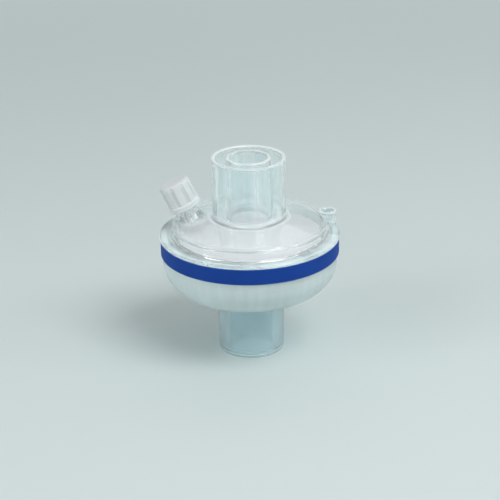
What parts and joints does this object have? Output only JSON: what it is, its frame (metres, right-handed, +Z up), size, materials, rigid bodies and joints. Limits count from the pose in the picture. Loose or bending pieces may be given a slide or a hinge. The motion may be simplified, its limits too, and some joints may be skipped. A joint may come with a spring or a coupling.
{
  "type": "breathing circuit filter",
  "caption": "Round heat and moisture exchanging breathing filter with coaxial conical ports on one axis and a leaning, capped gas sampling port.",
  "frame": {"origin": "centre of the patient port's end face, on which the filter stands", "axes": "+Z up along the common axis of both ports, towards the machine port; the gas sampling port leans to -X"},
  "size_m": [0.0604, 0.0604, 0.0683],
  "materials": {
    "frosted_bowl": "milky translucent",
    "clear_cover": "clear gloss",
    "membrane": "white non-woven",
    "corrugated_paper": "white paper",
    "blue_band": "satin",
    "white_cap": "satin"
  },
  "bodies": {
    "filter_body": {"bottom_housing": "frosted_bowl", "top_housing": "clear_cover", "filter_membrane": "membrane", "hme_roll": "corrugated_paper", "id_band": "blue_band"},
    "sampling_cap": {"luer_cap": "white_cap"}
  },
  "joints": [
    {"name": "cap_lift", "type": "slide", "parent": "filter_body", "child": "sampling_cap", "axis": [-0.4232, 0.0296, 0.9056], "range_m": [0, 0.012]}
  ]
}
